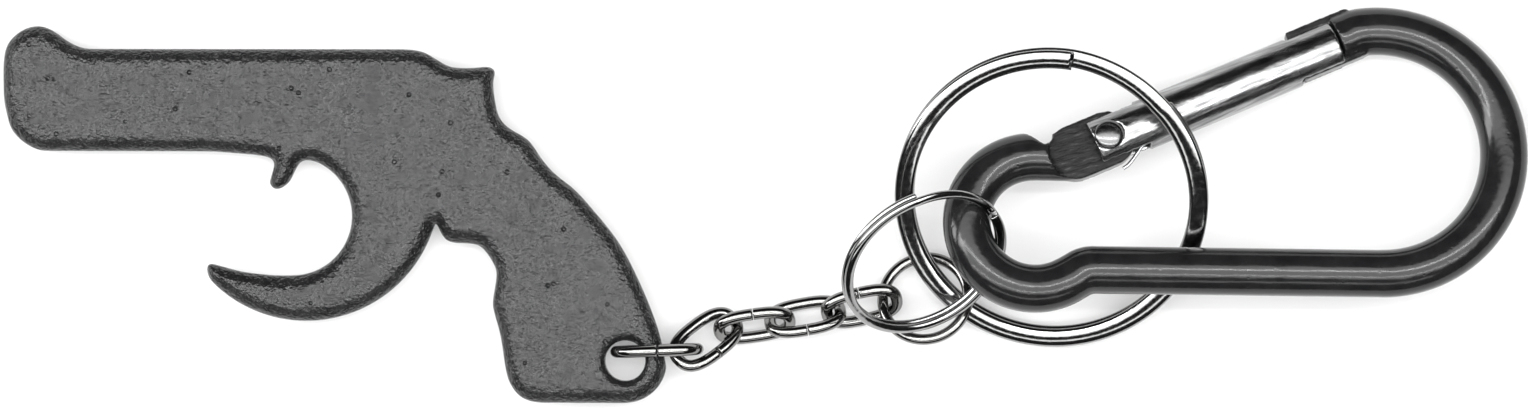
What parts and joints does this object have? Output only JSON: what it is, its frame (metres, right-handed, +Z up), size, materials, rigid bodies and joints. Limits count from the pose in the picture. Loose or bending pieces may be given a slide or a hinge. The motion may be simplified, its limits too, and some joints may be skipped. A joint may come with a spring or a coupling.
{
  "type": "keychain bottle opener",
  "caption": "Flat handgun-shaped bottle opener on a short oval-link chain, with a split key ring and a bent-rod snap hook with a sprung tubular gate.",
  "frame": {"origin": "centre of the bounding box, at the table the chain lies on", "axes": "+X along the chain from the opener to the snap hook, +Y from the opener's butt end towards its long edge, +Z up from the table"},
  "size_m": [0.1589, 0.0413, 0.0176],
  "materials": {
    "black_coat": "glossy black coat with a fine orange-peel surface",
    "plated_wire": "bright nickel plating",
    "ring_steel": "bright nickel-plated flat wire",
    "anodised_rod": "dark grey anodised, slightly mottled",
    "bright_gate": "bright drawn tube",
    "rivet_metal": "bright domed rivet",
    "spring_wire": "plain spring wire"
  },
  "bodies": {
    "opener": {"opener_plate": "black_coat"},
    "connector": {"connector_link": "plated_wire"},
    "link_1": {"chain_link_1": "plated_wire"},
    "link_2": {"chain_link_2": "plated_wire"},
    "link_3": {"chain_link_3": "plated_wire"},
    "link_4": {"chain_link_4": "plated_wire"},
    "jump": {"jump_ring": "plated_wire"},
    "key_ring": {"key_ring": "ring_steel"},
    "hook": {"carabiner_frame": "anodised_rod"},
    "gate": {"gate_sleeve": "bright_gate", "gate_rivet": "rivet_metal", "gate_spring": "spring_wire"},
    "eye_ring": {"eye_ring": "ring_steel"}
  },
  "joints": [
    {"name": "connector_swing", "type": "hinge", "parent": "opener", "child": "connector", "pos_m": [-0.0144, -0.01605, 0.0032], "axis": [0.0223, 0, -0.9998], "range_deg": [-15, 90]},
    {"name": "link_1_swing", "type": "hinge", "parent": "connector", "child": "link_1", "pos_m": [-0.0069, -0.01485, 0.00325], "axis": [0, 0, 1], "range_deg": [-40, 40]},
    {"name": "link_2_swing", "type": "hinge", "parent": "link_1", "child": "link_2", "pos_m": [-0.00325, -0.01173, 0.00176], "axis": [-0.6477, 0.7094, -0.2781], "range_deg": [-40, 20]},
    {"name": "link_3_swing", "type": "hinge", "parent": "link_2", "child": "link_3", "pos_m": [0.00266, -0.01189, 0.00225], "axis": [0.0857, -0.6097, -0.788], "range_deg": [-40, 40]},
    {"name": "link_4_swing", "type": "hinge", "parent": "link_3", "child": "link_4", "pos_m": [0.00794, -0.01086, 0.00205], "axis": [0.1228, -0.6964, 0.7071], "range_deg": [-40, 40]},
    {"name": "jump_ring_swing", "type": "hinge", "parent": "link_4", "child": "jump", "pos_m": [0.01381, -0.00961, 0.00221], "axis": [-0.1687, 0.7117, 0.6819], "range_deg": [-15, 40]},
    {"name": "key_ring_swing", "type": "hinge", "parent": "jump", "child": "key_ring", "pos_m": [0.02122, -0.00873, 0.00305], "axis": [-0.1536, 0.9228, -0.3532], "range_deg": [0, 35]},
    {"name": "hook_swing", "type": "hinge", "parent": "key_ring", "child": "hook", "pos_m": [0.04497, 0.00219, 0.00852], "axis": [0.1216, -0.9406, -0.3169], "range_deg": [-35, 0]},
    {"name": "gate_hinge", "type": "hinge", "parent": "hook", "child": "gate", "pos_m": [0.03565, 0.0069, 0.00642], "axis": [-0.044, -0.2241, -0.9736], "range_deg": [0, 21], "stiffness_Nm_per_rad": 0.01, "springref_deg": -17.19},
    {"name": "eye_ring_swing", "type": "hinge", "parent": "hook", "child": "eye_ring", "pos_m": [0.02063, -0.00268, 0.0093], "axis": [0.1508, -0.9648, 0.2153], "range_deg": [-15, 0]}
  ]
}
